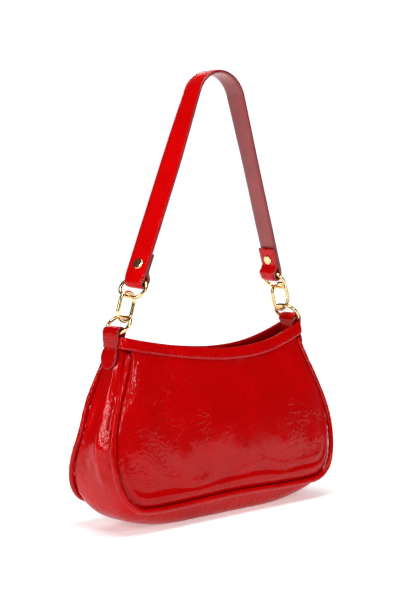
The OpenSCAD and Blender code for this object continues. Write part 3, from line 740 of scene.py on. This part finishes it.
def tape(side, x0, x1):
    """Tape from the row of teeth out to the facing, sagging a little between them."""
    x = np.linspace(x0, x1, max(8, int((x1 - x0) / 2)))
    s = np.linspace(0, 1, 9)
    inner, outer = row_y(x) + 0.6, tape_edge(x, side)
    y = side * (inner[:, None] * (1 - s) + outer[:, None] * s) - ZIP_FRONT
    z = zip_z(x)[:, None] - 0.5 * np.sin(math.pi * s)[None] * (1 + 0.4 * np.sin(x / 9))[:, None]
    grid = np.stack([x[:, None] + 0 * s, y, z], -1)
    return sheet_mesh(grid + [0, 0, 0.35], grid - [0, 0, 0.35], side < 0)


for side, word in ((-1, "front"), (1, "back")):
    body = f"zip_row_{word}"
    start_mesh, main_mesh = tape(side, ROW_START, OPEN_TO), tape(side, OPEN_TO, ROW_END)
    row = make(f"zip_teeth_{word}_row", *teeth(side), GOLD, body, "gold_metal", smooth=False)
    start = make(f"zip_tape_{word}_start", *start_mesh, TAPE, body, "zip_tape")
    main = make(f"zip_tape_{word}_main", *main_mesh, TAPE, body, "zip_tape")
    for piece in (row, start, main):
        piece.parent = None
        piece.matrix_world = Matrix.Identity(4)
    # Each piece leaves its body and has its place baked into its points; the rows open out near the
    # slider's start, as row_y gives
    for piece in (row, start):
        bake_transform(piece)
    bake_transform(main)
    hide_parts(f"zip_teeth_{word}")
    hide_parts(f"zip_tape_{word}")

refinish(GOLD, "zip_stops", "zip_slider", "zip_pull")


# ---- rings, links and rivets ------------------------------------------------------------------
for side_word in ("left", "right"):
    refinish(GOLD, *[f"{piece}_{side_word}" for piece in ("bag_ring", "link", "strap_ring", "rivet")])


# ---- strap ------------------------------------------------------------------------------------
def lean(angle):
    """Direction in the XZ plane that leans from upright towards -X by that many degrees."""
    return np.array([-math.sin(math.radians(angle)), math.cos(math.radians(angle))])


RING_B = (RING_SHORT - WIRE_D) / 2
LINK_A = (LINK_LONG - WIRE_D) / 2
link_low = np.array([LINK_X, LINK_Z])
link_high = link_low + 2 * LINK_A * lean(LINK_LEAN)
ring_top = link_low + (WIRE_D + PLAY) * lean(LINK_LEAN)
ring_low = ring_top - 2 * RING_B * lean(BAG_RING_LEAN)
wire_at = link_high - (WIRE_D + PLAY) * lean(LINK_LEAN) + 2 * RING_B * lean(STRAP_RING_LEAN)
STRAP_T = STRAP_OUTER_T + STRAP_BACK_T + 2 * AIR
POCKET, FOLD_SHIFT, PINCH = 3.8, 0.5, 1.4
FOLD_R = WIRE_R + 1.1 + STRAP_T / 2
arch = np.array([STRAP_TOP_X, STRAP_TOP - STRAP_T / 2 - STRAP_ARCH_R])


def leg_lean(side):
    """Lean of a strap leg, which runs from its ring to touch the arch at the top."""
    d = np.array([side * arch[0], arch[1]]) - wire_at
    reach = np.linalg.norm(d)
    beside = (STRAP_ARCH_R - FOLD_R - FOLD_SHIFT) / reach
    return math.degrees(math.asin(-d[0] / reach) - math.asin(beside))


def leg_up(side):
    return lean(leg_lean(side))


def leg_out(side):
    return np.array([leg_up(side)[1], -leg_up(side)[0]])


def fold_at(side):
    """Middle of the fold where the strap's end turns round its ring."""
    drop = POCKET + WIRE_R + STRAP_T / 2 - FOLD_R
    return wire_at + FOLD_SHIFT * leg_out(side) - drop * leg_up(side)


def end_path(side):
    """Centreline of one end: the tail, the fold round the ring and the leg up to the arch."""
    u, v, fold = leg_up(side), leg_out(side), fold_at(side)
    h = np.linspace(TAIL_LEN - FOLD_R, 0, 30)[:, None]
    apart = FOLD_R + (STRAP_T + AIR - 2 * FOLD_R) * ease((h - 3) / 7)
    tail = fold + h * u - apart * v
    a = np.radians(np.linspace(0, 180, 18)[1:-1])[:, None]
    turn = fold + FOLD_R * (-np.cos(a) * v - np.sin(a) * u)
    start = fold + FOLD_R * v
    reach = np.linalg.norm(np.array([side * arch[0], arch[1]]) - start)
    leg = start + np.linspace(0, math.sqrt(reach**2 - STRAP_ARCH_R**2), 70)[:, None] * u
    return np.concatenate([tail, turn, leg])


def strap_path():
    left = end_path(-1) * [-1, 1]
    right = end_path(1)[::-1]
    a = np.radians(np.linspace(180 - leg_lean(-1), leg_lean(1), 40))[1:-1]
    top = arch + STRAP_ARCH_R * np.stack([np.cos(a), np.sin(a)], 1)
    return np.concatenate([left, top, right]), len(left) + len(top) // 2


def turned(d, v, w):
    """Offset d in the XZ plane after a turn by w about the leg, whose outward side is v."""
    share = (d * v).sum(-1)[:, None]
    flat = np.stack([d[:, 0], 0 * d[:, 0], d[:, 1]], 1)
    drawn_in = np.cos(w) - 1
    return flat + share * np.stack([v[:, 0] * drawn_in, -np.sin(w), v[:, 1] * drawn_in], 1)


def strap_frames():
    """Centreline, half width across and outward direction all along the strap, twist included."""
    path, middle = strap_path()
    side = np.where(np.arange(len(path)) < middle, -1, 1)
    high = ease((STRAP_TOP - 10 - path[:, 1]) / 80)
    w = np.radians(np.where(side < 0, LEFT_TURN, -RIGHT_TURN)) * high
    v = np.array([[s * leg_out(s)[0], leg_out(s)[1]] for s in side])
    u = np.array([[s * leg_up(s)[0], leg_up(s)[1]] for s in side])
    fold = np.array([[s * fold_at(s)[0], fold_at(s)[1]] for s in side])
    t = tangents(path)
    height = ((path - fold) * u).sum(1)
    half = STRAP_W / 2 - PINCH * (1 - ease((height + FOLD_R) / 9))
    across = half[:, None] * np.stack([v[:, 0] * np.sin(w), np.cos(w), v[:, 1] * np.sin(w)], 1)
    out = turned(np.stack([-t[:, 1], t[:, 0]], 1), v, w)
    centre = np.stack([fold[:, 0], 0 * w, fold[:, 1]], 1) + turned(path - fold, v, w)
    return centre, across, out


EDGE_INSET = 0.3


def layer(d0, d1, crown):
    """One layer of the strap with rounded edges and a slightly crowned outer face."""
    centre, across, out = strap_frames()
    unit = across / np.linalg.norm(across, axis=1)[:, None]
    s = np.linspace(-1, 1, 13)
    lift = crown * (1 - s**4)
    rings = []
    for k in range(len(centre)):
        edge = across[k] - EDGE_INSET * unit[k]
        upper = [
            centre[k] + edge * a + out[k] * (d1 - 0.25 * (abs(a) == 1) + c) for a, c in zip(s, lift)
        ]
        lower = [centre[k] + edge * a + out[k] * (d0 + 0.2 * (abs(a) == 1)) for a in s[::-1]]
        rings.append(upper + lower)
    rings = np.array(rings)
    rings += 0.12 * waves(rings, 22, 90)[..., None] * out[:, None]
    return loft_mesh(rings)


def strap_edges():
    """Painted bead along both edges, which seals the two layers together."""
    centre, across, out = strap_frames()
    a = np.linspace(0, 2 * math.pi, 10, endpoint=False)
    parts = []
    for s in (-1, 1):
        unit = s * across / np.linalg.norm(across, axis=1)[:, None]
        sideways = 0.45 * np.cos(a)[None, :, None] * unit[:, None]
        outwards = 1.02 * np.sin(a)[None, :, None] * out[:, None]
        ring = (centre + s * across - 0.35 * unit)[:, None] + (sideways + outwards)
        parts.append(loft_mesh(ring, flip=s < 0))
    return joined(parts)


skin = layer(STRAP_T / 2 - STRAP_OUTER_T, STRAP_T / 2, 0.12)
outer = make("strap_outer_leather", *skin, PATENT_STRAP, "strap", "patent_leather")
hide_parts("strap_outer")
skin = layer(-STRAP_T / 2, -STRAP_T / 2 + STRAP_BACK_T, 0.0)
under = make("strap_backing_leather", *skin, BACKING, "strap", "backing_leather")
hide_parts("strap_backing")
make("strap_edge_paint", *strap_edges(), EDGE_PAINT, "strap", "backing_leather")


# ---- tabs -------------------------------------------------------------------------------------
TAB_T, TAB_W, TAB_GAP = 1.8, 19.6, 0.3
TAB_LEG_STEPS = 44
WALL_END_Z = float(ARC_Z - math.sqrt(MOUTH_ARC**2 - MOUTH_X**2))


def tab_path():
    """Centreline of the right tab as x, z and half width: inner leg, loop, outer leg and lobe."""
    inner_x = MOUTH_X - WALL_T - BIND_T - TAB_T / 2 - 2 * TAB_GAP
    outer_x = MOUTH_X + BIND_T + END_SPREAD * BINDING_H + TAB_GAP + TAB_T / 2
    loop_in = ring_low[0] - 5.3
    loop_x, loop_z = (loop_in + outer_x) / 2, ring_low[1] + 0.1
    loop_half = (outer_x - loop_in) / 2
    half = TAB_W / 2
    points = [(inner_x, z, half - 2.2) for z in np.linspace(WALL_END_Z - 25, WALL_END_Z - 3, 8)]
    points.append(((inner_x + loop_in) / 2, WALL_END_Z - 0.5, half - 1.8))
    for a in np.radians(np.linspace(180, 0, 19)):
        points.append((loop_x + loop_half * math.cos(a), loop_z + 5.2 * math.sin(a), half - 0.4))
    for z in np.linspace(WALL_END_Z - 1.5, WALL_END_Z - 27, TAB_LEG_STEPS):
        drop = WALL_END_Z - z
        end = max(0.0, (drop - 17) / 10)
        round_off = math.sqrt(max(0.012, 1 - end * end))
        waist = 1.9 * bell(drop - 9, 3.2)
        swing = 0.9 * ease((drop - 9) / 8) + 0.17 * max(0.0, drop - 10)
        points.append((outer_x + swing, z, (half - 0.5 - waist) * round_off))
    return np.array(points)


def tab_mesh(side):
    """One tab, slightly crowned; side is -1 for the left one."""
    path = tab_path()
    line = path[:, :2]
    n = normals2(line)
    s = np.linspace(-1, 1, 11)
    rings = []
    for k in range(len(path)):
        h = path[k, 2]
        rise = TAB_T / 2 - 0.3 * (np.abs(s) == 1)
        bow = 0.25 * (1 - s**2)
        outer = [(line[k] + n[k] * (r + b), h * a) for a, r, b in zip(s, rise, bow)]
        inner = [(line[k] - n[k] * r, h * a) for a, r in zip(s[::-1], rise)]
        rings.append([(p[0], y, p[1]) for p, y in outer + inner])
    return loft_mesh(np.array(rings) * [side, 1, 1], flip=side > 0)


def tab_edges(side):
    """Painted bead along both edges of a tab."""
    path = tab_path()
    n = normals2(path[:, :2])
    a = np.linspace(0, 2 * math.pi, 8, endpoint=False)
    parts = []
    for s in (-1, 1):
        centre = np.stack([path[:, 0], s * (path[:, 2] - 0.1), path[:, 1]], 1)
        out = np.stack([n[:, 0], 0 * n[:, 0], n[:, 1]], 1)
        sideways = 0.35 * np.cos(a)[None, :, None] * np.array([0, s, 0])
        ring = centre[:, None] + sideways + 0.72 * np.sin(a)[None, :, None] * out[:, None]
        parts.append(loft_mesh(ring * [side, 1, 1], flip=(s * side) < 0))
    return joined(parts)


def tab_stitches(side):
    """Two short rows of stitches above and below the tab's waist."""
    path = tab_path()
    pick = path[-TAB_LEG_STEPS:]
    drop = WALL_END_Z - pick[:, 1]
    rows = []
    for at in (5.5, 10.5):
        k = int(np.argmin(np.abs(drop - at)))
        y = np.linspace(-pick[k, 2] + 2.2, pick[k, 2] - 2.2, 20)
        face = pick[k, 0] + TAB_T / 2 + 0.28
        row = np.stack([0 * y + side * face, y, 0 * y + pick[k, 1]], 1)
        rows.append(stitch_row(row, np.tile([side, 0, 0.0], (len(y), 1)), 2.2, 0.8, 0.26))
    return joined(rows)


for side, word in ((-1, "left"), (1, "right")):
    piece = make(f"tab_{word}_leather", *tab_mesh(side), PATENT_TRIM, "bag", "patent_leather")
    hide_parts(f"tab_{word}")
    make(f"tab_{word}_edge_paint", *tab_edges(side), EDGE_PAINT, "bag", "patent_leather")
    make(f"tab_{word}_stitches", *tab_stitches(side), THREAD, "bag", "patent_leather")
